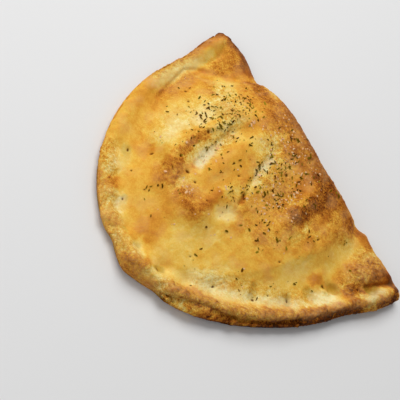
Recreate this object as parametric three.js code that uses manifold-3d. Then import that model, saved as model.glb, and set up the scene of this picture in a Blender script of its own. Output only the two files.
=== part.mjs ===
// A baked calzone, lying on its flat underside: a sheet of pizza dough folded once over its
// filling, sealed by hand along the curved edge and pressed down there, then strewn with dried
// herbs. It is one solid piece of food, so the herbs are fused to the crust.
//
// Units are millimetres. +X runs along the straight fold, +Y from the sealed edge towards the
// fold, +Z up. The origin is the middle of the underside of the bounding box; until the last
// step the shape is built about the middle of the line between its two tips.
import * as THREE from "three";
import { mergeVertices } from "three/addons/utils/BufferGeometryUtils.js";
import Module from "manifold-3d";

// ---------------------------------------------------------------- driving dimensions, mm
const HALF_LENGTH = 116.5; // half the way from tip to tip
const FOLD_OUT = 5.5; // how far the fold lies behind the line of the tips
// The sealed edge is a deep D: `lean` shifts its belly to the left, `belly` and `shoulder`
// widen and slim it on both sides.
const SEALED_EDGE = { depth: 164.4, roundness: 1.31, lean: -11, belly: 15, shoulder: -21.4 };
const EDGE_ROUND = { top: 6, under: 4.5 }; // how wide the edge is rounded above and below
const FOLD_ROUND = { top: 0.42, under: 0.3 }; // added to that for each mm of body height
const SEAM = { height: 5.2, lift: 0.35, cut: 1.3 }; // where the two layers of dough meet
const BAND = { left: 7.5, right: 9.5 }; // thickness of the pressed band inside the lip
const LIP = { left: 2.5, right: 4.5, inset: 7, width: 5.5 }; // the raised lip along the edge
const PRESS = { depth: 2.2, width: 5 }; // finger presses in the band
// The filled body: its height, how much of that is left at the right and at the front, and over
// what distance it rises from its foot near the fold and near the front.
const BODY = { height: 24, right: 0.58, front: 0.5, riseAtFold: 44, riseAtFront: 60 };
const FOOT_ROUND = { left: 8, right: 34 }; // how wide the foot of the body is rounded
// From where to where these change: to the right by x, to the front by y.
const BODY_TO_RIGHT = [-35, 23];
const BODY_TO_FRONT = [-40, -150];
const FOOT_TO_RIGHT = [20, 66];
const FOOT_TO_FRONT = [-6, -28];
const RISE_TO_FRONT = [0, -80];
const BAND_TO_RIGHT = [-35, -5];
// Dried herb flakes: the longest and the shortest, their width as a share of that, the least
// distance between two of them, and how far their middle stands proud; the tilt is in radians.
const HERB = { long: 3.2, short: 1.6, slimness: 0.5, thick: 1.2, gap: 3.6, proud: 0.1, tilt: 0.3 };
const HERB_COUNT = 96;

// ---------------------------------------------------------------- how fine the solid is
const AROUND = 120; // columns round the outline
const EDGE_RINGS = 6; // rings on the rounded edge, above
const TOP_RINGS = 19; // rings from there to the middle
const UNDER_EDGE_RINGS = 5; // rings on the rounded edge, below
const UNDER_RINGS = 1; // rings from there to the middle
const UNDER_EDGE = 18; // mm; further in than this the underside is flat everywhere
const OUTLINE_STEPS = 360; // points that distances to the outline are measured from

// ---------------------------------------------------------------- small functions
const { abs, cos, exp, hypot, max, min, PI, sin, sqrt } = Math;
const clamp = (x) => min(1, max(0, x));
const ease = (x) => clamp(x) ** 2 * (3 - 2 * clamp(x));
const mix = (a, b, t) => a + (b - a) * t;
const along = ([from, to], at) => ease((at - from) / (to - from));
const hump = (distance, width) => exp(-((distance / width) ** 2));
const quarterRound = (x) => sqrt(1 - (1 - clamp(x)) ** 2);
const bulge = (x) => 1 - (1 - clamp(x)) ** 2;
const total = (items, value) => items.reduce((sum, item) => sum + value(item), 0);

// How near a line of points comes to (x, y), and whether (x, y) is to the left of it.
function nearestOn(line, x, y) {
  let nearest = { distance: Infinity, left: false };
  for (let i = 1; i < line.length; i++) {
    const [a, b] = [line[i - 1], line[i]];
    const [dx, dy] = [b.x - a.x, b.y - a.y];
    const t = clamp(((x - a.x) * dx + (y - a.y) * dy) / (dx * dx + dy * dy));
    const distance = hypot(x - a.x - t * dx, y - a.y - t * dy);
    if (distance < nearest.distance) nearest = { distance, left: dx * (y - a.y) > dy * (x - a.x) };
  }
  return nearest;
}

const plan = (points) => points.map(([x, y]) => new THREE.Vector2(x, y));

// ---------------------------------------------------------------- the outline
// Where the fold swells (out > 0) or draws in, by x.
const FOLD_WAVES = [
  { x: -95, width: 15, out: 3 },
  { x: -72, width: 8, out: -2 },
  { x: -10, width: 50, out: -2.5 },
  { x: 66.5, width: 4.5, out: 2.9 },
  { x: 75, width: 6, out: 1 },
  { x: 92, width: 7, out: 1.5 },
  { x: 110, width: 6, out: -2 },
];

// The same for the sealed edge, by the turn round the outline in degrees.
const SEAL_WAVES = [
  { turn: 200, width: 9, out: -3.4 },
  { turn: 264.5, width: 2.8, out: -1.7 },
  { turn: 273, width: 3.6, out: 2.4 },
  { turn: 283.5, width: 3.5, out: -1.7 },
  { turn: 338, width: 7, out: -2.9 },
];

const swell = (waves, key, at) => total(waves, (w) => w.out * hump(at - w[key], w.width));

function foldPoint(turn) {
  const x = HALF_LENGTH * cos(turn);
  const out = FOLD_OUT + swell(FOLD_WAVES, "x", x);
  return [x, out * sqrt(max(0, 1 - abs(x / HALF_LENGTH) ** 14))];
}

function sealPoint(turn) {
  const { depth, roundness, lean, belly, shoulder } = SEALED_EDGE;
  const c = cos(turn);
  const s = abs(sin(turn));
  const out = swell(SEAL_WAVES, "turn", THREE.MathUtils.radToDeg(turn));
  const x = HALF_LENGTH * c + s * s * (lean + belly * c + shoulder * c * c);
  return [x + out * c, -depth * s ** roundness - out * s];
}

// The first half turn, from the right tip, is the fold, the other half the sealed edge.
class Outline extends THREE.Curve {
  arcLengthDivisions = 2000;
  getPoint(t, target = new THREE.Vector2()) {
    return target.set(...(t < 0.5 ? foldPoint(2 * PI * t) : sealPoint(2 * PI * t)));
  }
}

const outline = new Outline();
const rim = outline.getSpacedPoints(OUTLINE_STEPS);
const tip = rim.findIndex((p) => p.x < 0 && p.y < 0);
const folded = rim.slice(0, tip + 1);
const sealed = rim.slice(tip);

// ---------------------------------------------------------------- the top of the crust
// Where the filling ends and the sealed dough begins; behind the fold the line is closed far
// outside the outline, because the filling reaches right up to the fold.
const FOOT = plan([
  [59, 3], [59, 70], [-72, 70], [-72, 1], [-84, -20], [-97, -42], [-95, -63], [-84, -89],
  [-72, -113], [-60, -127], [-42, -139], [-20, -148], [3, -148], [21, -140], [36, -130],
  [48, -117], [62, -99], [73, -78], [80, -58], [84, -42], [80, -24], [70, -9], [59, 3],
]);

// Swells and hollows that the filling and the folding left in the crust.
const SWIRL = [[-47, -42], [-54, -68], [-50, -97], [-38, -114], [-20, -117], [-6, -110]];
const RELIEF = [
  { line: plan(SWIRL), width: 8, height: 4 },
  { line: plan([[-30, -40], [-27, -85]]), width: 7, height: 2 },
  { line: plan([[20, -22], [23, -38], [31, -56]]), width: 9, height: 3 },
  { line: plan([[-42, -52], [-36, -90]]), width: 5, height: -2.2 },
  { line: plan([[-17, -33], [-8, -60]]), width: 4, height: -1.5 },
  { line: plan([[-63, -106], [-58, -118]]), width: 8, height: -2.5 },
  { line: plan([[-104, -3], [-75, -2]]), width: 9, height: 3 },
  { line: plan([[68, -1], [86, -3]]), width: 8, height: 3 },
  { line: plan([[84, -19], [91, -9], [98, -3]]), width: 7, height: 4.5 },
  { line: plan([[-6, -158], [2, -158]]), width: 8, height: 1.5 },
];

// Where fingers pressed the two layers together.
const PRESSES = plan([
  [-74, -126], [-58, -137], [-40, -147], [-25, -151], [-10, -150], [9, -146], [24, -134], [37, -121],
  [56, -103], [70, -83], [79, -65], [85, -46], [100, -17],
]);

// The filled body is highest behind the left half of the fold and falls to the front and right.
function bodyHeight(x, y) {
  const foot = nearestOn(FOOT, x, y);
  if (!foot.left) return 0;
  const rise = mix(BODY.riseAtFold, BODY.riseAtFront, along(RISE_TO_FRONT, y));
  const toRight = mix(1, BODY.right, along(BODY_TO_RIGHT, x));
  const toFront = mix(1, BODY.front, along(BODY_TO_FRONT, y));
  const softer = along(FOOT_TO_RIGHT, x) * along(FOOT_TO_FRONT, y);
  const rounded = ease(foot.distance / mix(FOOT_ROUND.left, FOOT_ROUND.right, softer));
  return BODY.height * bulge(foot.distance / rise) * rounded * toRight * toFront;
}

function crustHeight(x, y, toSeal) {
  const right = along(BAND_TO_RIGHT, x);
  const band = mix(BAND.left, BAND.right, right);
  const lip = mix(LIP.left, LIP.right, right) * hump(toSeal - LIP.inset, LIP.width);
  const relief = total(RELIEF, (r) => r.height * hump(nearestOn(r.line, x, y).distance, r.width));
  const presses = total(PRESSES, (p) => PRESS.depth * hump(hypot(x - p.x, y - p.y), PRESS.width));
  return band + lip + bodyHeight(x, y) + relief - presses;
}

// ---------------------------------------------------------------- the crust as a solid
// Heights of the upper and the under side over a point of the plan.
function heights(x, y) {
  const toSeal = nearestOn(sealed, x, y).distance;
  const toEdge = min(toSeal, nearestOn(folded, x, y).distance);
  const body = bodyHeight(x, y);
  const seam = SEAM.height + SEAM.lift * body;
  const above = quarterRound(toEdge / (EDGE_ROUND.top + FOLD_ROUND.top * body));
  const below = quarterRound(toEdge / (EDGE_ROUND.under + FOLD_ROUND.under * body));
  return { seam, top: mix(seam, crustHeight(x, y, toSeal), above), under: seam * (1 - below) };
}

// Insets of the rings from the outline, from the seam to the middle. The first ones follow a
// quarter circle, so that the rounded edge is even.
function ringInsets(reach, round, edgeRings, innerRings) {
  const quarterTurn = (k) => (k / edgeRings) * (PI / 2);
  const edge = Array.from({ length: edgeRings }, (_, k) => round * (1 - cos(quarterTurn(k))));
  const inner = Array.from({ length: innerRings + 1 }, (_, k) => mix(round, reach, k / innerRings));
  return [...edge, ...inner];
}

const MIDDLE = new THREE.Vector2(-2, -70);

// A sphere's rows become the rings: the first row is the middle of the top, the last one that
// of the underside, and the row on the outline is the seam.
function crustGeometry() {
  const seamRow = TOP_RINGS + EDGE_RINGS;
  const rows = seamRow + UNDER_EDGE_RINGS + UNDER_RINGS;
  const geometry = new THREE.SphereGeometry(1, AROUND, rows);
  const place = geometry.getAttribute("position");
  const starts = outline.getSpacedPoints(AROUND);
  for (let column = 0; column <= AROUND; column++) {
    const start = starts[column % AROUND];
    const reach = start.distanceTo(MIDDLE);
    const atFold = along([-30, 0], start.y) * along([HALF_LENGTH, 33], abs(start.x));
    const topEdge = EDGE_ROUND.top + FOLD_ROUND.top * BODY.height * atFold;
    const above = ringInsets(reach, topEdge, EDGE_RINGS, TOP_RINGS);
    const below = ringInsets(reach, UNDER_EDGE, UNDER_EDGE_RINGS, UNDER_RINGS);
    below[0] = above[0] = SEAM.cut * along([0, -20], start.y);
    for (let row = 0; row <= rows; row++) {
      const upper = row <= seamRow;
      const inset = upper ? above[seamRow - row] : below[row - seamRow];
      const p = start.clone().lerp(MIDDLE, inset / reach);
      const { seam, top, under } = heights(p.x, p.y);
      const z = row === seamRow ? seam : upper ? top : under;
      place.setXYZ(row * (AROUND + 1) + column, p.x, p.y, z);
    }
  }
  splitAlongShorter(geometry);
  return geometry;
}

// Splits every four-sided facet a-b-c-d along its shorter diagonal, so that steep folds come out
// even. The first and the last row have only single triangles.
function splitAlongShorter(geometry) {
  const place = geometry.getAttribute("position");
  const corners = geometry.index.array;
  const corner = (i) => new THREE.Vector3().fromBufferAttribute(place, i);
  const between = (i, k) => corner(i).distanceTo(corner(k));
  for (let i = 3 * AROUND; i < corners.length - 3 * AROUND; i += 6) {
    const [a, b, d, , c] = corners.slice(i, i + 6);
    if (between(a, c) < between(b, d)) corners.set([a, b, c, a, c, d], i);
  }
}

// ---------------------------------------------------------------- joining
const wasm = await Module();
wasm.setup();

function toSolid(geometry) {
  geometry.deleteAttribute("normal");
  geometry.deleteAttribute("uv");
  const merged = mergeVertices(geometry, 1e-4);
  return new wasm.Manifold(
    new wasm.Mesh({
      numProp: 3,
      vertProperties: merged.getAttribute("position").array,
      triVerts: new Uint32Array(merged.index.array),
    }),
  );
}

function toGeometry(solid) {
  const mesh = solid.getMesh();
  return new THREE.BufferGeometry()
    .setAttribute("position", new THREE.BufferAttribute(new Float32Array(mesh.vertProperties), 3))
    .setIndex(new THREE.BufferAttribute(mesh.triVerts, 1));
}

// ---------------------------------------------------------------- the herbs
// Where they were strewn: share of the places tried that get a flake.
const STREWN = [
  { x: -56, y: -56, width: 20, share: 1 },
  { x: 2, y: -58, width: 26, share: 0.75 },
  { x: -10, y: -35, width: 50, share: 0.3 },
  { x: 0, y: -100, width: 70, share: 0.06 },
];

// A repeatable run of numbers from 0 to 1, by the Park-Miller rule.
const MODULUS = 2 ** 31 - 1;
let seed = 11;
function random() {
  seed = (seed * 16807) % MODULUS;
  return seed / MODULUS;
}

const UP = new THREE.Vector3(0, 0, 1);
const DOWN = new THREE.Vector3(0, 0, -1);

function herbPlaces() {
  const places = [];
  while (places.length < HERB_COUNT) {
    const x = mix(-HALF_LENGTH, HALF_LENGTH, random());
    const y = mix(-SEALED_EDGE.depth, 0, random());
    const share = total(STREWN, (s) => s.share * hump(hypot(x - s.x, y - s.y), s.width));
    const apart = places.every((p) => hypot(x - p.x, y - p.y) > HERB.gap);
    if (random() < share && apart && nearestOn(FOOT, x, y).left) places.push({ x, y });
  }
  return places;
}

// One flake, half sunk into the crust and lying along it.
function herbFlake({ x, y }, rank, crustMesh) {
  const fall = new THREE.Raycaster(new THREE.Vector3(x, y, 2 * BODY.height), DOWN);
  const [{ point, face }] = fall.intersectObject(crustMesh);
  const alongCrust = new THREE.Quaternion().setFromUnitVectors(UP, face.normal);
  const length = mix(HERB.long, HERB.short, rank / HERB_COUNT);
  return new THREE.OctahedronGeometry(0.5)
    .scale(length, HERB.slimness * length, HERB.thick)
    .rotateY(HERB.tilt * (random() - 0.5))
    .translate(0, 0, HERB.proud)
    .rotateZ(2 * PI * random())
    .applyQuaternion(alongCrust)
    .translate(point.x, point.y, point.z);
}

// ---------------------------------------------------------------- the calzone
const crust = crustGeometry();
const crustMesh = new THREE.Mesh(crust.clone());
const flakes = herbPlaces().map((place, rank) => toSolid(herbFlake(place, rank, crustMesh)));
const strewn = flakes.reduce((all, flake) => all.add(flake));
const geometry = toGeometry(toSolid(crust).add(strewn));
geometry.computeBoundingBox();
const box = geometry.boundingBox;
geometry.translate(-(box.min.x + box.max.x) / 2, -(box.min.y + box.max.y) / 2, -box.min.z);

const bakedCrust = new THREE.MeshStandardMaterial({ color: 0xd9a24a, roughness: 0.7, metalness: 0 });
const calzone = new THREE.Mesh(geometry, bakedCrust);
calzone.name = "calzone";

const group = new THREE.Group();
group.add(calzone);

export default group;
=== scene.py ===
"""A baked calzone: one sheet of pizza dough folded over its filling, sealed by hand along the
curved edge, browned in a hot oven and strewn with dried herbs and grated hard cheese.

Shapes are worked out in millimetres about the middle of the line between the two tips, with +X
along the fold, +Y from the sealed edge towards the fold and +Z up. They are moved into the
frame's place and turned to metres as the very last thing.
"""

import math
import random

import bmesh
import bpy
import numpy as np
from mathutils import Matrix, Vector, noise
from mathutils.bvhtree import BVHTree


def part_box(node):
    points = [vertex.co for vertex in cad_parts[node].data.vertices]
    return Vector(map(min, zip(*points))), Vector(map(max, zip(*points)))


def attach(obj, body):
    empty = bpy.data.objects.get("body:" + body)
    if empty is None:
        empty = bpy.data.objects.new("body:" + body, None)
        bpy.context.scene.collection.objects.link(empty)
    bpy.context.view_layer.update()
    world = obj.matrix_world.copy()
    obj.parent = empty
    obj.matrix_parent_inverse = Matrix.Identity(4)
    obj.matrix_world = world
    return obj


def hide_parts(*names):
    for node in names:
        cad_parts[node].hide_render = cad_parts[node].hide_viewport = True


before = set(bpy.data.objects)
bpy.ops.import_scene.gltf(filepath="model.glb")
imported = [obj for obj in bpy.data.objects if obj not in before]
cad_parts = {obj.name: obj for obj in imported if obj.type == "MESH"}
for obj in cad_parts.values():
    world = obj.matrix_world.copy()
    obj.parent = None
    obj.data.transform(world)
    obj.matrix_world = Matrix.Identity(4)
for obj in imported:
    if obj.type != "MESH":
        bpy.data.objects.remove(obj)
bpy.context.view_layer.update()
box_low, box_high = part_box("calzone")

# ------------------------------------------------------------------ driving dimensions, mm
MM = 0.001  # a millimetre in metres
HALF_LENGTH = 116.5  # half the way from tip to tip
FOLD_OUT = 5.5  # how far the fold lies behind the line of the tips
FOLD_SQUARENESS = 14  # how squarely the fold's line turns in at the tips
# The sealed edge is a deep D: lean shifts its belly to the left, belly and shoulder widen and
# slim it on both sides.
SEALED_EDGE = dict(depth=164.4, roundness=1.31, lean=-11, belly=15, shoulder=-21.4)
EDGE_ROUND = dict(top=6, under=4.5)  # how wide the edge is rounded above and below
FOLD_ROUND = dict(top=0.42, under=0.3)  # added to that for each mm of body height
FULL_AT_FOLD = dict(by_x=(HALF_LENGTH, 33), by_y=(-30, 0))  # where the top is rounded most
SEAM = dict(height=5.2, lift=0.35, cut=1.3)  # where the two layers of dough meet
SEAM_CUT = dict(by_y=(0, -20), rings=2)  # where it is cut in, and how many rings wide
BAND = dict(left=7.5, right=9.5)  # thickness of the pressed band inside the lip
LIP = dict(left=2.5, right=4.5, inset=7, width=5.5)  # the raised lip along the edge
PRESS = dict(depth=2.2, width=5)  # finger presses in the band
BODY = dict(height=24, right=0.58, front=0.5, rise_at_fold=44, rise_at_front=60)
FOOT_ROUND = dict(left=8, right=34)  # how wide the foot of the body is rounded
# From where to where the body, its foot and the band change, by x.
BODY_TO_RIGHT = (-35, 23)
FOOT_TO_RIGHT = (20, 66)
BAND_TO_RIGHT = (-35, -5)
# The same by y.
BODY_TO_FRONT = (-40, -150)
FOOT_TO_FRONT = (-6, -28)
RISE_TO_FRONT = (0, -80)
UNDER_EDGE = 18  # further in than this the underside is flat everywhere
HERB = dict(long=3.2, short=1.6, slimness=0.5, gap=3.6, tilt=0.3)
HERB_COUNT = 96  # the flakes that are large enough to be felt

# how fine the outline and the crust are
EDGE_STEPS = 4000  # steps in which the way round the edge is measured
RIM_STEPS = 360  # steps of the line from which distances to the edge are taken
ACROSS = 280  # squares across the sheet of dough, two for each ring of squares
EDGE_RINGS = 16  # rings on the rounded edge above the seam
UNDER_RINGS = 12  # rings on the rounded edge below it


# ------------------------------------------------------------------ small functions
def ease(x):
    """From 0 to 1, with a soft start and a soft end."""
    c = np.clip(x, 0, 1)
    return c * c * (3 - 2 * c)


def mix(a, b, t):
    """From a to b as t goes from 0 to 1."""
    return a + (b - a) * t


def along(span, at):
    """From 0 where span starts to 1 where it ends, softly."""
    return ease((at - span[0]) / (span[1] - span[0]))


def hump(distance, width):
    """A bell: 1 at no distance, and next to nothing past twice its width."""
    return np.exp(-((distance / width) ** 2))


def quarter_round(x):
    """From 0 to 1 as a quarter of a circle rises."""
    return np.sqrt(1 - (1 - np.clip(x, 0, 1)) ** 2)


def bulge(x):
    """From 0 to 1, steep at first and then flat."""
    return 1 - (1 - np.clip(x, 0, 1)) ** 2


def nearest_on(line, x, y):
    """How near a line of points comes to each (x, y), and whether that is to the left of it."""
    nearest = np.full(x.shape, np.inf)
    left = np.zeros(x.shape, bool)
    for (ax, ay), (bx, by) in zip(line[:-1], line[1:]):
        dx, dy = bx - ax, by - ay
        t = np.clip(((x - ax) * dx + (y - ay) * dy) / (dx * dx + dy * dy), 0, 1)
        distance = np.hypot(x - ax - t * dx, y - ay - t * dy)
        closer = distance < nearest
        nearest = np.where(closer, distance, nearest)
        left = np.where(closer, dx * (y - ay) > dy * (x - ax), left)
    return nearest, left


def near(line, x, y):
    """How near one point, or a line of points, comes to each (x, y)."""
    if len(line) == 1:
        return np.hypot(x - line[0][0], y - line[0][1])
    return nearest_on(line, x, y)[0]


def dabs(marks, x, y):
    """Soft marks laid over each other, each with its strength, its width and its line."""
    return sum(strength * hump(near(line, x, y), width) for strength, width, line in marks)


def patches(marks, x, y, edge=3):
    """Marks with a plainer edge, where the strongest one counts. The higher edge, the crisper."""
    power = 5  # the higher, the less the weaker marks add
    shares = (
        strength * np.exp(-((near(line, x, y) / width) ** edge)) for strength, width, line in marks
    )
    return sum(share ** power for share in shares) ** (1 / power)


def uneven(points, size, seed):
    """Smooth unevenness from -1 to 1, with bumps about as large as size."""
    shift = Vector((seed * 17.3, seed * 5.1, seed * 9.7))
    return np.array([noise.noise(Vector(p) / size + shift) for p in points])


# ------------------------------------------------------------------ the outline
# Where the fold swells out or draws in: its middle by x, its width, and how far out it goes.
FOLD_WAVES = [
    (-95, 15, 3), (-72, 8, -2), (-10, 50, -2.5), (66.5, 4.5, 2.9), (75, 6, 1), (92, 7, 1.5),
    (110, 6, -2),
]
# Where the sealed edge does: middle and width in degrees of the turn, and how far out it goes.
SEAL_WAVES = [(200, 9, -3.4), (264.5, 2.8, -1.7), (273, 3.6, 2.4), (283.5, 3.5, -1.7), (338, 7, -2.9)]


def swell(waves, at):
    """How far out the waves put the edge at one place of it."""
    return sum(out * hump(at - middle, width) for middle, width, out in waves)


def outline(turn):
    """The edge of the calzone seen from above, once round from the right tip, fold first."""
    c, s = np.cos(turn), np.abs(np.sin(turn))
    fold_x = HALF_LENGTH * c
    fold_out = FOLD_OUT + swell(FOLD_WAVES, fold_x)
    fold_y = fold_out * np.sqrt(np.maximum(0, 1 - np.abs(c) ** FOLD_SQUARENESS))
    e = SEALED_EDGE
    out = swell(SEAL_WAVES, np.degrees(turn))
    seal_x = HALF_LENGTH * c + s * s * (e["lean"] + e["belly"] * c + e["shoulder"] * c * c) + out * c
    seal_y = -e["depth"] * s ** e["roundness"] - out * s
    behind = turn < math.pi
    return np.where(behind, fold_x, seal_x), np.where(behind, fold_y, seal_y)


turns = np.linspace(0, 2 * math.pi, EDGE_STEPS + 1)
edge_x, edge_y = outline(turns)
walked = np.concatenate([[0], np.cumsum(np.hypot(np.diff(edge_x), np.diff(edge_y)))])
walked /= walked[-1]
FOLD_SHARE = float(np.interp(math.pi, turns, walked))  # how much of the way round is the fold


def edge_at(share):
    """The point of the edge after a share of the way round."""
    return np.interp(share, walked, edge_x), np.interp(share, walked, edge_y)


rim = np.stack(edge_at(np.linspace(0, 1, RIM_STEPS + 1)), axis=1)
tip = int(np.argmax((rim[:, 0] < 0) & (rim[:, 1] < 0)))
folded, sealed = rim[: tip + 1], rim[tip:]

to_frame = Vector((
    (box_low.x + box_high.x) / 2 - MM * (edge_x.min() + edge_x.max()) / 2,
    (box_low.y + box_high.y) / 2 - MM * (edge_y.min() + edge_y.max()) / 2,
    box_low.z,
))

# ------------------------------------------------------------------ the top of the crust
# Where the filling ends and the sealed dough begins; behind the fold the line is closed far
# outside the outline, because the filling reaches right up to the fold.
FOOT = [
    (59, 3), (59, 70), (-72, 70), (-72, 1), (-84, -20), (-97, -42), (-95, -63), (-84, -89),
    (-72, -113), (-60, -127), (-42, -139), (-20, -148), (3, -148), (21, -140), (36, -130),
    (48, -117), (62, -99), (73, -78), (80, -58), (84, -42), (80, -24), (70, -9), (59, 3),
]
SWIRL = [(-47, -42), (-54, -68), (-50, -97), (-38, -114), (-20, -117), (-6, -110)]
# Swells and hollows that the filling and the folding left in the crust: height, width, line.
RELIEF = [
    (4, 8, SWIRL),
    (2, 7, [(-30, -40), (-27, -85)]),
    (3, 9, [(20, -22), (23, -38), (31, -56)]),
    (-2.2, 5, [(-42, -52), (-36, -90)]),
    (-1.5, 4, [(-17, -33), (-8, -60)]),
    (-2.5, 8, [(-63, -106), (-58, -118)]),
    (3, 9, [(-104, -3), (-75, -2)]),
    (3, 8, [(68, -1), (86, -3)]),
    (4.5, 7, [(84, -19), (91, -9), (98, -3)]),
    (1.5, 8, [(-6, -158), (2, -158)]),
]
# Where fingers pressed the band.
PRESSES = [
    (-74, -126), (-58, -137), (-40, -147), (-25, -151), (-10, -150), (9, -146), (24, -134),
    (37, -121), (56, -103), (70, -83), (79, -65), (85, -46), (100, -17),
]


def body_height(x, y):
    """The filled body is highest behind the left half of the fold and falls to front and right."""
    distance, inside = nearest_on(FOOT, x, y)
    rise = mix(BODY["rise_at_fold"], BODY["rise_at_front"], along(RISE_TO_FRONT, y))
    to_right = mix(1, BODY["right"], along(BODY_TO_RIGHT, x))
    to_front = mix(1, BODY["front"], along(BODY_TO_FRONT, y))
    softer = along(FOOT_TO_RIGHT, x) * along(FOOT_TO_FRONT, y)
    rounded = ease(distance / mix(FOOT_ROUND["left"], FOOT_ROUND["right"], softer))
    return np.where(inside, BODY["height"] * bulge(distance / rise) * rounded * to_right * to_front, 0)


def crust_form(x, y):
    """Heights of seam, top and underside over (x, y), and how far in from the sealed edge it is."""
    to_seal = nearest_on(sealed, x, y)[0]
    to_edge = np.minimum(to_seal, nearest_on(folded, x, y)[0])
    body = body_height(x, y)
    right = along(BAND_TO_RIGHT, x)
    band = mix(BAND["left"], BAND["right"], right)
    lip = mix(LIP["left"], LIP["right"], right) * hump(to_seal - LIP["inset"], LIP["width"])
    presses = dabs([(PRESS["depth"], PRESS["width"], [p]) for p in PRESSES], x, y)
    crust = band + lip + body + dabs(RELIEF, x, y) - presses
    seam = SEAM["height"] + SEAM["lift"] * body
    above = quarter_round(to_edge / (EDGE_ROUND["top"] + FOLD_ROUND["top"] * body))
    below = quarter_round(to_edge / (EDGE_ROUND["under"] + FOLD_ROUND["under"] * body))
    return seam, mix(seam, crust, above), seam * (1 - below), to_seal


# Creases and small ledges too fine for the main form: height, width, line.
CREASES = [
    # the lower sheet bulges out from under the upper one at the front right
    (-2.8, 1.7, [(20, -158), (27, -153), (32, -148), (38, -142), (46, -134), (54, -129), (62, -122)]),
    (1.5, 3.2, [(22, -151), (33, -142), (42, -133), (51, -126), (60, -117), (71, -102), (80, -86)]),
    (-1.6, 1.5, [(62, -122), (71, -110), (79, -97), (87, -82)]),
    (1.3, 3.5, [(30, -152), (38, -147), (46, -139)]),
    (0.9, 3, [(50, -136), (56, -130)]),
    # the foot of the body at the left
    (-1.3, 1.6, [(-77, -10), (-85, -20), (-91, -27), (-97, -35), (-101, -46), (-98, -57), (-92, -75)]),
    (1.2, 3.2, [(-80, -17), (-90, -32), (-95, -44), (-93, -60), (-87, -74)]),
    (-0.9, 2, [(-104, -4), (-99, -14), (-99, -26)]),  # a pleat on the left tip
    (0.8, 3, [(-109, -6), (-107, -32)]),
    # the swirl
    (1.3, 2.6, [(-51, -65), (-53, -72), (-53, -84), (-50, -98), (-45, -108)]),
    (-1.0, 2.2, [(-59, -60), (-59, -84)]),
    (-1.0, 2.5, [(-43, -58), (-40, -72), (-37, -86)]),
    (-0.8, 1.8, [(-15, -43), (-11, -53), (-6, -66)]),
    (-1.8, 1.5, [(-2.5, -73), (0.5, -79)]),
    (1.6, 4.5, [(-12, -84), (-10, -102)]),
    (1.6, 6, [(-43, -104), (-38, -112)]),
    (1.6, 6, [(-20, -111), (-10, -109)]),
    (-1.0, 3, [(-30, -112)]),
    (-1.2, 4, [(0, -94), (4, -86)]),
    # the crest on the right
    (1.2, 4, [(24, -36), (27, -54)]),
    (-1.0, 3, [(33, -52), (38, -42)]),
    (1.0, 3, [(46, -45), (52, -52)]),
    (0.8, 5, [(24, -76)]),
    # the right tip
    (-2.4, 1.3, [(94.5, -20), (97, -15), (100, -9.5), (103, -4), (105, -1)]),
    (1.2, 4, [(89, -20), (95, -11), (99, -2)]),
    (-1.8, 2.3, [(98, -19.5), (101, -16.5)]),
    (1.0, 3, [(104, -26), (106, -14), (108, -6)]),
    (-1.8, 3.2, [(79, -46), (84, -43)]),
    (1.3, 1.5, [(80, -51.5), (83.5, -50), (87.5, -46.5), (88.5, -42)]),
    (-0.8, 2.8, [(72, -64), (78, -62)]),
    (0.5, 1.6, [(74, -68.5), (78.5, -65.5), (81, -61)]),
    (-1.2, 1.8, [(69, -78.5), (73, -81.5)]),
    (0.8, 1.4, [(72, -75), (76, -79)]),
    (-1.2, 2, [(51, -97), (56, -101)]),
    (1.0, 4, [(70, -50), (73, -58)]),
    (-0.8, 3, [(92, -66), (96, -58)]),
    # blisters and dents on the rim
    (1.2, 4, [(-50, -145)]),
    (1.7, 4.5, [(-5, -160), (2, -156)]),
    (1.0, 4, [(-38, -157)]),
    (-0.5, 3, [(-46, -153)]),
    (-1.0, 3, [(-63, -105), (-60, -112)]),
]

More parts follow.
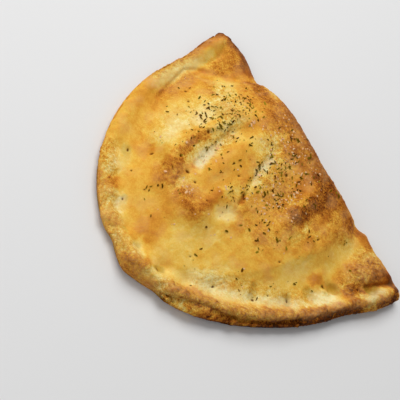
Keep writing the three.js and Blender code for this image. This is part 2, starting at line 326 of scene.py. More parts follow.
# ------------------------------------------------------------------ how the crust browned, and the light and shade painted on it
# Strength, width and line of each patch. The crust is golden where there is none.
BROWNED_AND_SHADED = [
    (0.44, 6.5, [(-116, 2), (-100, 5), (-86, 4), (-80, 0)]),  # left end of the fold
    (0.30, 6.5, [(-115, -4), (-112, -26)]),
    (0.20, 8, [(-98, -4), (-88, -6), (-78, -4)]),
    (0.08, 8, [(-101, -10), (-90, -14)]),
    (0.18, 7, [(-92, -22), (-84, -10)]),
    (0.12, 5, [(-111, -26), (-110, -44), (-108, -62), (-101, -80), (-94, -92)]),
    (0.18, 2.6, [(-94, -30), (-96, -42), (-95, -58), (-92, -72), (-87, -84)]),  # foot of the body, left
    (0.13, 7, [(-90, -46), (-89, -66), (-87, -82)]),
    (0.18, 5, [(-80, -44), (-75, -48)]),
    (0.16, 8, [(-64, -18), (-54, -24)]),
    (0.32, 7, [(-68, -6), (-52, -14)]),
    (0.14, 7, [(-68, -14), (-62, -26)]),
    (0.35, 8, [(-40, -5), (0, -4), (30, -4), (52, -6)]),  # back of the fold
    (0.30, 4.5, [(56, -2), (64, 2), (72, 1)]),
    (0.27, 12, [(-38, -16), (-16, -18), (10, -16), (24, -18)]),
    (0.20, 6, [(-38, -24), (-38, -46)]),
    (0.04, 11, [(-30, -36), (-24, -40)]),
    (0.41, 9.5, [(14, -8), (24, -9), (29, -18), (30, -29)]),  # crest on the right
    (0.40, 7.5, [(29, -39), (27, -47)]),
    (0.12, 7, [(28, -50), (30, -60)]),
    (0.34, 6.5, [(34, -8), (35, -15)]),
    (0.28, 6.5, [(37, -20), (39, -34)]),
    (0.13, 5, [(48, -45), (48, -60)]),
    (0.15, 8, [(50, -12), (51, -34)]),
    (0.10, 4, [(43, -41), (47, -47)]),
    (0.28, 8, [(13, -12), (12, -22), (14, -34)]),
    (0.16, 9, [(14, -44), (18, -52)]),
    (0.10, 12, [(20, -60), (12, -74)]),
    (0.13, 6, [(10, -79), (12, -88)]),
    (0.10, 6, [(5, -66), (5, -72)]),
    (0.14, 6, [(22, -72), (26, -77)]),
    (0.14, 6, [(5, -38), (8, -60)]),
    (0.07, 10, [(37, -62), (38, -78)]),
    (0.20, 3.2, [(-49.5, -74), (-50, -83), (-48, -92), (-43, -100)]),  # the swirl
    (0.10, 4, [(-57, -76), (-57, -84)]),
    (0.22, 2.8, [(-43, -100), (-38.5, -107), (-34, -111), (-29, -114), (-21.5, -114.5), (-16, -113)]),
    (0.25, 8, [(-43, -105), (-38, -112)]),
    (0.10, 6, [(-46, -115), (-30, -119), (-12, -118)]),
    (0.26, 7.5, [(-20, -107), (-18, -115), (-12, -112)]),
    (0.10, 5, [(-36, -94), (-34, -98)]),
    (0.25, 4.5, [(-12, -91), (-11, -99), (-10, -104)]),
    (0.08, 5, [(-14, -66), (-17, -78)]),
    (0.09, 9, [(-26, -58), (-23, -88)]),
    (0.24, 4.5, [(-57, -138), (-54, -143)]),  # blisters on the left of the rim
    (0.09, 3.5, [(-66, -146), (-50, -155)]),
    (0.13, 4.5, [(-38, -154), (-32, -156)]),
    (0.25, 5, [(-6, -161), (1, -157)]),
    (0.20, 6.5, [(24, -146), (34, -137), (40, -132)]),
    (0.10, 6.5, [(40, -132), (47, -126), (57, -115), (66, -104)]),
    (0.27, 6, [(66, -104), (75, -91), (83, -78)]),
    (0.18, 4, [(30, -147), (37, -141), (48, -132), (60, -120)]),  # rim, right
    (0.17, 4, [(64, -117), (75, -103), (82, -93)]),
    (0.34, 5, [(84, -78), (90, -66), (94, -54), (98, -42), (101, -34)]),
    # partly painted shade: the low outer side of the rim, browned and in shadow
    (0.34, 5.5, [(92, -78), (99, -62), (104, -46), (106, -40)]),
    (0.20, 9, [(80, -20), (86, -12), (93, -4)]),
    (0.44, 6.5, [(91, -9), (95, -3)]),  # the right tip
    (0.38, 6.5, [(92, -38), (94, -27)]),
    # painted shade in the crease under the tip's ridge
    (0.30, 2.4, [(94.5, -20), (97, -15), (100, -9.5), (103, -4), (105, -1)]),
    (0.34, 5, [(94, -14), (100, -3)]),
    (0.34, 3.8, [(110, -19), (112.5, -13), (113, -8)]),
    (0.48, 6.5, [(100, 0), (107, -2), (113, -6)]),
    (0.24, 3.2, [(69, -55), (72, -51), (72, -56)]),
    (0.17, 4.5, [(75, -32), (80, -36)]),
    (0.08, 4, [(80, -46), (85, -43)]),
    # painted shade in the pit at the slot's lower end
    (0.30, 1.7, [(-2.5, -73), (0.5, -79)]),
    (0.14, 3, [(-64, -104), (-60, -108)]),
    (0.14, 9, [(-20, -124), (-14, -138), (-22, -146)]),
    (0.08, 5, [(30, -152), (38, -148)]),
    (0.34, 5, [(48, -140), (60, -127)]),  # what sticks out below
    # painted shadow along the bottom edge of the front rim
    (0.22, 3.5, [(-4, -168), (8, -164), (16, -160)]),
    (0.07, 5, [(44, -110), (50, -98)]),
    (0.08, 8, [(-66, -108)]),
    (0.16, 7, [(-88, -68)]),
    (0.12, 6, [(-88, -34)]),
    (0.06, 6, [(66, -36), (72, -28)]),
]
PALE_AND_LIGHTENED = [
    (0.16, 10, [(-76, -30), (-66, -50), (-68, -72)]),  # flank of the body, left
    (0.20, 8, [(-63, -64), (-67, -74)]),
    (0.22, 8, [(-68, -80), (-64, -92)]),
    (0.12, 8, [(-80, -70), (-79, -82)]),
    (0.07, 6, [(-61, -64), (-60, -72)]),
    (0.18, 4.5, [(-47, -56), (-47, -68)]),
    # partly painted light: lightens the shade that falls in the hollow between the folds
    (0.26, 5.5, [(-40, -74), (-38, -85)]),  # stretched dough between the folds
    (0.12, 3, [(-45, -78), (-43, -94)]),
    (0.12, 3, [(-32, -92)]),
    (0.14, 3, [(-41, -56), (-40, -68)]),
    (0.14, 6, [(-44, -50), (-38, -54)]),
    (0.14, 4, [(-24, -22), (-24, -36)]),
    (0.14, 4, [(-14, -43), (-10, -55), (-5, -66)]),
    (0.14, 9, [(-34, -46), (-24, -46)]),
    (0.20, 6, [(-1, -97), (4, -89)]),
    (0.12, 3, [(-31, -99), (-32, -105), (-30, -114)]),
    (0.12, 5, [(-20, -36), (-17, -40)]),
    (0.15, 3, [(10, -104), (12, -113)]),
    (0.10, 8, [(-12, -122), (20, -132), (30, -112)]),
    # partly painted light: lightens the shade of the finger press beside it
    (0.22, 5, [(31, -121), (38, -115)]),
    (0.22, 5, [(12, -146), (20, -138)]),
    (0.31, 5.5, [(23, -130), (34, -118)]),
    (0.36, 6, [(34, -127), (44, -118), (55, -107)]),  # pressed band, right
    (0.34, 6, [(53, -104), (61, -99)]),
    (0.31, 4.5, [(58, -102), (68, -90), (75, -79), (79, -71)]),
    (0.38, 6, [(82, -60), (88, -51)]),
    (0.30, 4, [(88, -52), (93, -42)]),
    (0.36, 2.8, [(97, -30), (102, -24), (104.5, -14), (106, -7)]),
    (0.13, 9, [(58, -58), (62, -86)]),
    (0.20, 5, [(-104, -20), (-103, -34), (-103, -52), (-102, -68)]),  # pressed band, left
    (0.18, 7, [(-68, -122), (-62, -134)]),
    (0.30, 5, [(-43, -143), (-39, -147)]),
    (0.26, 3.5, [(-24, -153)]),
    (0.20, 4, [(-64, -131)]),
    (0.12, 6, [(-30, -148), (-24, -151)]),
    (0.26, 5, [(-13, -150), (-6, -154)]),
    (0.06, 7, [(50, -94), (44, -114)]),
    (0.12, 7, [(68, -36), (68, -16)]),
    (0.12, 3, [(37, -30), (39, -46)]),
    (0.12, 8, [(4, -112), (0, -142)]),
    (0.09, 4.5, [(22, -153), (36, -146)]),  # front of the rim
    (0.10, 5, [(-50, -148), (-30, -157), (-16, -155)]),
    (0.14, 4, [(-47, -152)]),
    (0.12, 4, [(-10, -77), (-11, -83)]),
    (0.22, 4, [(5, -154), (11, -151)]),
]
# Dough that was stretched thin and stayed white.
RAW = [
    (1.0, 4.0, [(-39, -76), (-37, -87)]),
    (0.5, 1.8, [(-40, -66), (-39, -74)]),
    (0.8, 2.6, [(-13.5, -43), (-11, -50)]),
    (0.5, 2.0, [(-9, -56), (-6, -63)]),
    (0.3, 4, [(0, -94), (3, -88)]),
    (0.3, 4, [(-66, -80), (-64, -90)]),
    (0.5, 5, [(82, -60), (90, -50)]),
    (0.35, 5, [(-65, -62), (-62, -70)]),
    (0.4, 3.5, [(60, -100), (76, -78)]),
    (0.3, 3, [(101, -27), (105, -15)]),
    (0.22, 5, [(26, -134), (54, -107)]),
    (0.5, 3, [(-42, -144)]),
    (0.25, 5, [(-103, -36), (-103, -52), (-102, -72)]),
]
# Hollows that stayed olive-yellow: oil pooled in them, and painted shade darkens them.
OILED_AND_SHADED = [
    (0.85, 3.4, [(81, -46), (85.5, -43)]),
    (0.5, 3, [(73, -63), (78, -61)]),
    (1.0, 2.0, [(77.5, -50)]),
    (0.5, 4, [(69, -82)]),
    (0.5, 2.5, [(51, -97), (56, -102)]),
    (0.9, 2.2, [(69.5, -78.7), (73, -82)]),
    (0.08, 6, [(46, -112), (30, -126)]),
    (0.12, 8, [(58, -64), (64, -88)]),
    (0.10, 5, [(18, -136), (26, -127)]),
    (0.45, 5, [(-104, -10), (-105, -30)]),
    (0.3, 5, [(-105, -34), (-104, -52), (-99, -78)]),
    (1.0, 2.8, [(97.5, -19.5), (101, -18), (102, -15)]),
    (0.35, 4, [(103, -28), (105, -14)]),
    (0.8, 3, [(6, -149), (9, -147)]),
    (0.16, 5, [(66, -8), (66, -36)]),
    (0.5, 3, [(-25, -152)]),
    (0.5, 2.5, [(-12, -151)]),
    (0.6, 3, [(-42, -141)]),
    (0.5, 4, [(-70, -119)]),
    (0.3, 5, [(-60, -54), (-52, -48)]),
    (0.25, 4, [(-60, -98), (-52, -106)]),
]
# Where flour and cheese dust lie on the brown in pale specks.
DUSTED = [
    (0.55, 10, [(-34, -9), (6, -7)]),
    (0.4, 9, [(-30, -24), (4, -26)]),
    (0.4, 10, [(4, -50), (12, -66)]),
    (0.4, 4, [(22, -46), (25, -54)]),
    (0.4, 8, [(24, -76)]),
    (0.4, 5, [(-38, -110), (-34, -106)]),
    (0.4, 5, [(-26, -106), (-16, -104)]),
    (1.0, 5.5, [(20, -150), (33, -139), (46, -128), (56, -117), (66, -105), (75, -92), (83, -79)]),
    (1.0, 5, [(83, -79), (90, -66), (95, -52), (99, -42), (104, -30)]),
    (1.0, 9, [(79, -22), (86, -12), (84, -4)]),
    (0.8, 5, [(91, -36), (96, -36)]),
    (0.8, 4, [(106, -30), (110, -20), (113, -12)]),
    (0.5, 3.5, [(68, -53), (71, -54)]),
    (0.6, 4.5, [(-94, -42), (-91, -56)]),
    (0.5, 5, [(-112, -4), (-111, -30)]),
    (0.7, 5, [(-66, -144), (-50, -155), (-30, -161), (0, -160), (20, -156)]),
    (0.4, 9, [(-50, -46), (-60, -52)]),
    (0.7, 3.5, [(-24, -28), (-23, -35)]),
    (0.7, 3, [(-42, -40)]),
    (0.7, 3, [(-41, -54), (-41, -59)]),
    (0.7, 3.5, [(-17, -27), (-5, -23)]),
    (0.7, 3.5, [(-1, -47)]),
    (0.7, 3.5, [(5, -61)]),
]
# Where the skin of the crust is coarse and crumbly; elsewhere it is stretched smooth.
COARSE = [
    (1.3, 16, [(-60, -8), (0, -8), (50, -12)]),
    (1.4, 14, [(-30, -22), (0, -50), (34, -44)]),
    (2.1, 9, [(20, -8), (30, -22), (28, -52)]),
    (1.4, 14, [(-56, -50), (-70, -40)]),
    (0.6, 13, [(-72, -52), (-68, -92)]),
    (0.7, 12, [(0, -76), (24, -76), (48, -30)]),
    (2.6, 7.5, [(20, -154), (37, -141), (51, -129), (62, -118), (74, -100), (86, -84)]),
    (2.6, 8, [(86, -84), (94, -67), (102, -46), (109, -27), (114, -6)]),
    (2.5, 12, [(84, -8), (90, -28)]),
    (1.3, 8, [(-110, 0), (-88, 0), (-92, -20)]),
    (1.6, 6, [(-111, -30), (-108, -66)]),
    (1.5, 7, [(-76, -130), (-56, -146), (-24, -160), (4, -160)]),
    (0.9, 7, [(-96, -46), (-92, -70)]),
    (1.2, 9, [(-48, -76), (-48, -90), (-40, -108), (-12, -108)]),
    (1.8, 5, [(-41, -60), (-38, -88)]),
    (1.8, 4, [(-14, -40), (-8, -58)]),
    (1.2, 8, [(30, -128), (40, -114), (70, -82), (86, -56)]),
]
# Holes pricked or burst in the crust: middle, length, width, turn in degrees.
PRICKS = [
    (-69, -118, 2.6, 1.6, -50), (-56, -124.5, 1.6, 1.3, -30), (-86, -59, 2.0, 1.5, 0),
    (-78, -64, 1.8, 1.4, -30), (-50.5, -72.2, 2.8, 2.2, 0), (-42, -141, 1.8, 1.2, -40),
    (8, -149, 3.2, 1.5, -20), (36.5, -121, 2.0, 1.2, 70), (57.5, -101.5, 2.0, 1.5, 0),
    (61, -91, 1.6, 1.1, 60), (77.6, -50, 2.8, 2.2, 0), (71, -80, 2.6, 1.0, -40),
    (49, -40, 3.0, 1.3, 85), (-61, -13, 2.0, 1.3, 90), (-35, -98.5, 3.2, 2.2, 20),
    (-20, -17.5, 2.2, 1.4, 80), (12.5, -126, 1.3, 1.0, 0), (47, -74, 1.6, 1.2, 60),
    (-12, -99.5, 1.5, 1.2, 0), (1, -36, 1.8, 1.5, 20), (-59, -107.5, 2.4, 1.6, 60),
    (-46, -97.3, 1.8, 1.4, 0), (-26.6, -98.5, 2.2, 1.4, 10), (-15, -70.3, 2.2, 1.3, 60),
]
HOLE_SPREAD = 0.55  # how steeply a hole sinks in
HOLE_DEPTH = 1.3  # mm
HOLE_SHADE = dict(start=0.25, growth=2.2)  # how deep in a hole its painted shade starts, and how fast it grows

OUTER_SIDE = (6, 1.5)  # the rim's outer side, by the way in from the sealed edge
# Where that side is browned nearly to burnt and carries painted shade: from the right shoulder almost
# to the tip.
BURNT_AND_SHADED_FROM_LEFT = (60, 92)  # by x
BURNT_AND_SHADED_FROM_TIP = (-24, -46)  # by y
BARE_FROM_LEFT = (10, 40)  # by x, from there on neither flour nor dry skin shows on that side
LOW_RIM_BROWNED_AND_SHADED = (9, 1)  # by height, where the rim is darker low down: browned by the hot floor of the oven, with painted shade
OFF_FLOOR = (0, 4)  # by height, where the relief of the skin sets in
BLISTERED_RIM = dict(whole=3, fading=3.5, height=0.6)  # blisters along the sealed edge

# Bumps of the skin: their size in mm, and the seed of their places.
BUMPS = dict(swells=(13, 1), blisters=(5, 2), pebbles=(2.4, 3), crumbs=(1.3, 4))
# How high they are in mm, and how much browner: everywhere, and then where the skin is coarse.
HEIGHTS = dict(swells=0.4, blisters=0.2)
COARSE_HEIGHTS = dict(blisters=0.06, pebbles=0.24, crumbs=0.17)
BROWNING = dict(swells=0.04, blisters=0.05)
COARSE_BROWNING = dict(blisters=0.04, pebbles=0.1, crumbs=0.1)
SMOOTHEST = 0.5  # how coarse the skin is away from the coarse patches
OILED_AND_SHADED_EDGE = 5  # oil and the painted shade in hollows end more crisply than what the heat did
DRY = dict(size=9, seed=9, strength=2)  # blotches where the skin is dry and pale
RAGGED = [(9, 2.4), (4, 1.6), (1.8, 0.8)]  # size of the notches in an edge, how far they reach
RAGGED_SEEDS = (5, 7)  # for x and for y


def holes(x, y):
    """How deep in one of the holes each (x, y) is: from 0 far outside to 1 in its middle."""
    deep = np.zeros(x.shape)
    for hx, hy, length, width, turn in PRICKS:
        a = math.radians(turn)
        u = (x - hx) * math.cos(a) + (y - hy) * math.sin(a)
        v = (y - hy) * math.cos(a) - (x - hx) * math.sin(a)
        deep = np.maximum(deep, hump(np.hypot(u / length, v / width), HOLE_SPREAD))
    return deep


# ------------------------------------------------------------------ the crust
MIDDLE = (-2, -70)  # where the rings of squares draw together
# How brown the crust is, from 0 for raw to 1 for burnt.
GOLDEN = 0.42  # where nothing made it darker or paler
DARKEST = 0.9
DARKER = dict(burnt_and_shaded=0.46, low_browned_and_shaded=0.1, browned_and_shaded_beneath=0.15)  # painted shade, with browning, added on the outer side, low on the rim and beneath
FADED = 1.4  # specks fade as the crust nears this
NEARLY = 1e-6  # what counts as touching on the sheet of squares


def way_round(u, v):
    """The share of the way round the edge at which a square ring's point (u, v) lies: the ring's
    back side follows the fold, and its other three sides share the sealed edge."""
    r = np.maximum(np.maximum(np.abs(u), np.abs(v)), NEARLY)
    side = (1 - FOLD_SHARE) / 3
    back = FOLD_SHARE * (1 - u / r) / 2
    left = FOLD_SHARE + side * (1 - v / r) / 2
    front = FOLD_SHARE + side * (1 + (1 + u / r) / 2)
    right = FOLD_SHARE + side * (2 + (1 + v / r) / 2)
    on_back, on_left, on_front = v >= r - NEARLY, u <= -r + NEARLY, v <= -r + NEARLY
    return np.select([on_back, on_left, on_front], [back, left, front], right)


def crust_sheet():
    """A closed sheet of squares, whose vertices know how far round and which ring they are."""
    bm = bmesh.new()
    bmesh.ops.create_grid(bm, x_segments=ACROSS, y_segments=ACROSS, size=1.0)
    share_layer = bm.verts.layers.float.new("share")
    ring_layer = bm.verts.layers.float.new("ring")
    flat = np.array([vert.co[:2] for vert in bm.verts])
    share = way_round(flat[:, 0], flat[:, 1])
    ring = (1 - np.abs(flat).max(axis=1)) * ACROSS / 2
    for vert, s, r in zip(bm.verts, share, ring):
        vert[share_layer] = s
        vert[ring_layer] = round(r)
    for k in range(UNDER_RINGS):
        last = [edge for edge in bm.edges if edge.is_boundary]
        made = bmesh.ops.extrude_edge_only(bm, edges=last)["geom"]
        for vert in made:
            if isinstance(vert, bmesh.types.BMVert):
                vert[ring_layer] = -(k + 1)
    bmesh.ops.contextual_create(bm, geom=[edge for edge in bm.edges if edge.is_boundary])
    share = np.array([vert[share_layer] for vert in bm.verts])
    ring = np.array([vert[ring_layer] for vert in bm.verts])
    return bm, share, ring


def lay_out(share, ring):
    """Places of the crust's vertices in plan, ring by ring inwards from the seam."""
    start_x, start_y = edge_at(share)
    reach = np.hypot(start_x - MIDDLE[0], start_y - MIDDLE[1])
    at_fold = along(FULL_AT_FOLD["by_y"], start_y) * along(FULL_AT_FOLD["by_x"], np.abs(start_x))
    top_edge = EDGE_ROUND["top"] + FOLD_ROUND["top"] * BODY["height"] * at_fold
    turn = np.clip(ring / EDGE_RINGS, 0, 1) * math.pi / 2
    inner = np.clip((ring - EDGE_RINGS) / (ACROSS / 2 - EDGE_RINGS), 0, 1)
    above = mix(top_edge * (1 - np.cos(turn)), reach, inner)
    below = UNDER_EDGE * (1 - np.cos(np.clip(-ring / UNDER_RINGS, 0, 1) * math.pi / 2))
    cut = SEAM["cut"] * along(SEAM_CUT["by_y"], start_y) * hump(ring, SEAM_CUT["rings"])
    inset = np.where(ring >= 0, above, below) + cut
    return mix(start_x, MIDDLE[0], inset / reach), mix(start_y, MIDDLE[1], inset / reach)


def summed(weights, bumps):
    """The bumps laid over each other, each with its weight."""
    return sum(weight * bumps[name] for name, weight in weights.items())


def ragged(at, places, seed):
    """Shifts x or y so that a patch ends as raggedly as heat and flour leave it."""
    return at + sum(reach * uneven(places, size, seed) for size, reach in RAGGED)


def set_places(bm, places):
    for vert, place in zip(bm.verts, places):
        vert.co = place
    bm.normal_update()


def shape_crust():
    """The crust with its fine relief, in mm, and what its finish needs to know at each vertex."""
    bm, share, ring = crust_sheet()
    x, y = lay_out(share, ring)
    seam, top, under, to_seal = crust_form(x, y)
    z = np.where(ring > 0, top, np.where(ring < 0, under, seam))
    places = np.stack([x, y, z], axis=1)
    bmesh.ops.recalc_face_normals(bm, faces=bm.faces)
    set_places(bm, places)
    normals = np.array([vert.normal for vert in bm.verts])

    bumps = {name: uneven(places, size, seed) for name, (size, seed) in BUMPS.items()}
    coarse = SMOOTHEST + patches(COARSE, x, y)
    ragged_x, ragged_y = ragged(x, places, RAGGED_SEEDS[0]), ragged(y, places, RAGGED_SEEDS[1])
    rimmed = hump(np.maximum(0, to_seal - BLISTERED_RIM["whole"]), BLISTERED_RIM["fading"])
    hole = holes(x, y)
    fine = summed(HEIGHTS, bumps) + coarse * summed(COARSE_HEIGHTS, bumps)
    fine = fine + BLISTERED_RIM["height"] * rimmed * bumps["blisters"]
    fine = fine + dabs(CREASES, x, y) - HOLE_DEPTH * hole
    relief = along(OFF_FLOOR, places[:, 2]) * (ring > -UNDER_RINGS) * fine
    places = places + normals * relief[:, None]
    places[:, 2] = np.maximum(0, places[:, 2])
    set_places(bm, places)

    # The browned marks carry painted shade in creases, a pit and along low edges; the pale marks carry
    # painted light over two shaded hollows.
    bake = GOLDEN + patches(BROWNED_AND_SHADED, ragged_x, ragged_y) - patches(PALE_AND_LIGHTENED, ragged_x, ragged_y)
    # Painted shade, with browning, on the rim's outer side at the right, low on the rim and where the
    # crust faces down.
    side = along(OUTER_SIDE, to_seal)
    low_browned_and_shaded = along(LOW_RIM_BROWNED_AND_SHADED, places[:, 2]) * rimmed
    browned_and_shaded_beneath = np.clip(-normals[:, 2], 0, 1)
    burnt_and_shaded = along(BURNT_AND_SHADED_FROM_LEFT, ragged_x) * along(BURNT_AND_SHADED_FROM_TIP, ragged_y) * side
    bake = bake + DARKER["burnt_and_shaded"] * burnt_and_shaded + DARKER["low_browned_and_shaded"] * low_browned_and_shaded + DARKER["browned_and_shaded_beneath"] * browned_and_shaded_beneath
    bake = np.minimum(bake, DARKEST)
    lively = coarse * (FADED - bake)
    bake = bake + summed(BROWNING, bumps) + lively * summed(COARSE_BROWNING, bumps)
    bare = side * along(BARE_FROM_LEFT, x)
    dry = DRY["strength"] * uneven(places, DRY["size"], DRY["seed"])
    marks = dict(
        bake=bake,
        coarse=coarse,
        # the hole mark is painted shade inside the holes
        hole=HOLE_SHADE["growth"] * (hole - HOLE_SHADE["start"]),
        # the oiled mark is oil in the hollows, with painted shade
        oiled_and_shaded=patches(OILED_AND_SHADED, ragged_x, ragged_y, OILED_AND_SHADED_EDGE),
        dusted=patches(DUSTED, ragged_x, ragged_y) * (1 - bare),
        raw=patches(RAW, ragged_x, ragged_y),
        dry=np.clip(dry, 0, 1) * (1 - bare),
    )
    return bm, marks


# ------------------------------------------------------------------ what is strewn on it
# Where the herbs fell: middle, width, share of the places tried that get a flake.
STREWN = [(-56, -56, 20, 1), (2, -58, 26, 0.75), (-10, -35, 50, 0.3), (0, -100, 70, 0.06)]
# Middle, width and share again, for the crumbs of herbs and then for the grains of cheese.
CRUMBS_OF_HERBS = [
    (-61.6, -54, 2.2, 9), (-58, -57, 2, 6), (-52, -48, 2.5, 9), (-54.5, -50.6, 2, 6), (-53, -57, 2, 6),
    (-51.4, -61.4, 2, 6), (-49.5, -43.4, 2.5, 4), (-55.4, -31.5, 2.5, 3), (-47.6, -57, 2.5, 4),
    (-42, -79, 1.6, 6), (-41, -73, 1.6, 5), (-35, -55.6, 2, 5), (-21, -18, 1.5, 5), (-7, -28, 2, 3),
    (-1, -36, 2, 3), (7, -46, 2.5, 3), (-21, -38, 2, 3), (-5, -67, 2, 3), (-52, -60, 6, 1.2),
    (-71, -47, 4, 0.6), (-64, -41, 5, 0.8), (-61, -30, 5, 0.7), (-55, -34, 6, 0.8), (-65, -58, 5, 0.6),
    (-68, -70, 5, 0.6), (-60, -68, 5, 0.8), (-58, -78, 4, 0.6), (-34, -54, 6, 0.5), (-41, -75, 6, 0.8),
    (-36, -86, 3, 0.6), (-26, -34, 5, 0.5), (-20, -18, 6, 0.6), (-7, -27, 5, 0.7), (2, -17, 6, 0.6),
    (-1, -36, 5, 0.7), (3, -49, 5, 0.8), (-12, -54, 4, 0.7), (14, -53, 4, 2), (11, -33, 6, 0.6),
    (0, -66, 6, 0.5), (-9, -80, 5, 0.5), (24, -62, 8, 0.2), (-2, -88, 8, 0.3), (0, -80, 90, 0.015),
    (-50, -40, 16, 0.25), (70, -92, 30, 0.03),
]
CHEESE = [
    (-24, -28, 3, 2), (-41, -54, 2, 2), (-42, -40, 2.5, 1.5), (-17, -27, 3, 1), (-5, -23, 3, 1),
    (-7, -14, 3, 2), (1, -47, 3, 2), (13, -53, 4, 2), (16, -38, 4, 1.5),
    (2, -68, 3, 1), (11, -68, 3, 1), (-10, -84, 3, 1.5), (-97, -48, 2, 2), (-40, -61, 2, 2),
    (-41, -42, 3, 1.5), (-23, -104, 3, 1.5), (9, -106, 2, 1.5), (28, -54, 3, 0.5), (-48, -34, 6, 0.3),
    (-20, -24, 14, 0.25), (0, -18, 16, 0.25), (8, -56, 14, 0.3), (-36, -82, 5, 0.5),
    (-22, -104, 12, 0.2), (0, -70, 80, 0.01), (-10, -40, 14, 0.15),
]
# Sizes in mm. The higher the rarity, the rarer the long crumbs and the large grains are.
CRUMB = dict(short=0.8, long=3.6, rarity=2.5, gap=0.7, tilt=0.3)
CRUMB_COUNT = 380
CRUMBS_BESIDE = dict(up_to=3, away=1.6)  # that broke off a large flake, and how far off they lie
LEAF = dict(sides=7, thick=0.25, lift=0.15, slimmest=0.25)
LEAF_CORNERS = (0.55, 1.3)  # how far in and out the corners of a leaf are torn
LEAF_CURL = (-0.5, 0.9)
GRAIN = dict(small=0.7, large=2.0, rarity=2, gap=1.0, flatness=0.45)
GRAIN_COUNT = 260
GRAIN_CORNERS = (0.6, 1.25)
GRAIN_STRETCH = (0.8, 1.9)
# The seeds of what is strewn, and those of how the single flakes and grains look.
FLAKES_SEED, CRUMBS_SEED, GRAINS_SEED = 11, 23, 31
LEAF_SEED, GRAIN_SEED = 5, 8
MULTIPLIER = 16807
MODULUS = 2**31 - 1


def park_miller(seed):
    """A repeatable run of numbers from 0 to 1."""
    while True:
        seed = seed * MULTIPLIER % MODULUS
        yield seed / MODULUS


def strew(count, places, gap, draw):
    """Places for so many flakes, none nearer to another than gap."""
    found = []
    while len(found) < count:
        x = mix(-HALF_LENGTH, HALF_LENGTH, next(draw))
        y = mix(-SEALED_EDGE["depth"], 0, next(draw))
        share = sum(part * math.exp(-((math.hypot(x - px, y - py) / width) ** 2))
                    for px, py, width, part in places)
        if next(draw) >= share or any(math.hypot(x - fx, y - fy) <= gap for fx, fy in found):
            continue
        if nearest_on(FOOT, np.array([x]), np.array([y]))[1][0]:
            found.append((x, y))
    return found


def onto_crust(tree, x, y):
    """Moves what is modelled at the origin onto the crust over (x, y), lying along it."""
    point, normal, _, _ = tree.ray_cast(Vector((x, y, 2 * BODY["height"])), Vector((0, 0, -1)))
    return Matrix.Translation(point) @ normal.to_track_quat("Z", "Y").to_matrix().to_4x4()


def herb_flake(bm, lay, length, tilt, spin, chance):
    """One crumbled leaf: a thin ragged plate, a little curled across its length."""
    leaf = bmesh.ops.create_circle(bm, cap_ends=True, segments=LEAF["sides"], radius=0.5)["verts"]
    for vert in leaf:
        vert.co *= chance.uniform(*LEAF_CORNERS)
    grown = bmesh.ops.extrude_face_region(bm, geom=list(leaf[0].link_faces))["geom"]
    raised = [part for part in grown if isinstance(part, bmesh.types.BMVert)]
    bmesh.ops.translate(bm, verts=raised, vec=(0, 0, LEAF["thick"]))
    whole = leaf + raised
    width = chance.uniform(LEAF["slimmest"], HERB["slimness"]) * length
    bmesh.ops.scale(bm, verts=whole, vec=(length, width, 1))
    curl = chance.uniform(*LEAF_CURL) / length
    for vert in whole:
        vert.co.z += curl * (vert.co.x ** 2 + 2 * vert.co.y ** 2)
    turn = Matrix.Rotation(spin, 4, "Z") @ Matrix.Rotation(tilt, 4, "Y")
    bmesh.ops.transform(bm, verts=whole, matrix=lay @ Matrix.Translation((0, 0, LEAF["lift"])) @ turn)
    shade = chance.random()
    for vert in whole:
        vert[bm.verts.layers.float["shade"]] = shade


def herbs(tree):
    """All flakes: first the large ones, as they are fused to the solid, then the crumbs."""
    bm = bmesh.new()
    bm.verts.layers.float.new("shade")
    chance = random.Random(LEAF_SEED)
    draw = park_miller(FLAKES_SEED)
    places = strew(HERB_COUNT, STREWN, HERB["gap"], draw)
    for rank, (x, y) in enumerate(places):
        length = mix(HERB["long"], HERB["short"], rank / HERB_COUNT)
        tilt = HERB["tilt"] * (next(draw) - 0.5)
        herb_flake(bm, onto_crust(tree, x, y), length, tilt, 2 * math.pi * next(draw), chance)
    fallen = strew(CRUMB_COUNT, CRUMBS_OF_HERBS, CRUMB["gap"], park_miller(CRUMBS_SEED))
    away = CRUMBS_BESIDE["away"]
    for x, y in places:
        for _ in range(chance.randrange(CRUMBS_BESIDE["up_to"] + 1)):
            fallen.append((x + chance.gauss(0, away), y + chance.gauss(0, away)))
    for x, y in fallen:
        length = mix(CRUMB["short"], CRUMB["long"], chance.random() ** CRUMB["rarity"])
        tilt = chance.uniform(-CRUMB["tilt"], CRUMB["tilt"])
        herb_flake(bm, onto_crust(tree, x, y), length, tilt, chance.uniform(0, 2 * math.pi), chance)
    bmesh.ops.recalc_face_normals(bm, faces=bm.faces)
    return bm


def cheese(tree):
    """Grains of hard cheese, flattened and half sunk where they melted onto the crust."""
    bm = bmesh.new()
    chance = random.Random(GRAIN_SEED)
    for x, y in strew(GRAIN_COUNT, CHEESE, GRAIN["gap"], park_miller(GRAINS_SEED)):
        size = mix(GRAIN["small"], GRAIN["large"], chance.random() ** GRAIN["rarity"])
        grain = bmesh.ops.create_icosphere(bm, subdivisions=1, radius=size / 2)["verts"]
        for vert in grain:
            vert.co *= chance.uniform(*GRAIN_CORNERS)
        flat = Matrix.Diagonal((chance.uniform(*GRAIN_STRETCH), 1, GRAIN["flatness"], 1))
        turn = Matrix.Rotation(chance.uniform(0, 2 * math.pi), 4, "Z")
        bmesh.ops.transform(bm, verts=grain, matrix=onto_crust(tree, x, y) @ turn @ flat)
    return bm


# ------------------------------------------------------------------ finishes
# How the colour of dough goes with the bake, from raw cream to nearly burnt.
CRUST_STOPS = [
    (0.0, "f4e4a0"), (0.18, "ecce74"), (0.36, "e4b64a"), (0.5, "d99a34"), (0.64, "c47d26"),
    (0.8, "985212"), (0.92, "662f06"), (1.0, "3a1a02"),
]
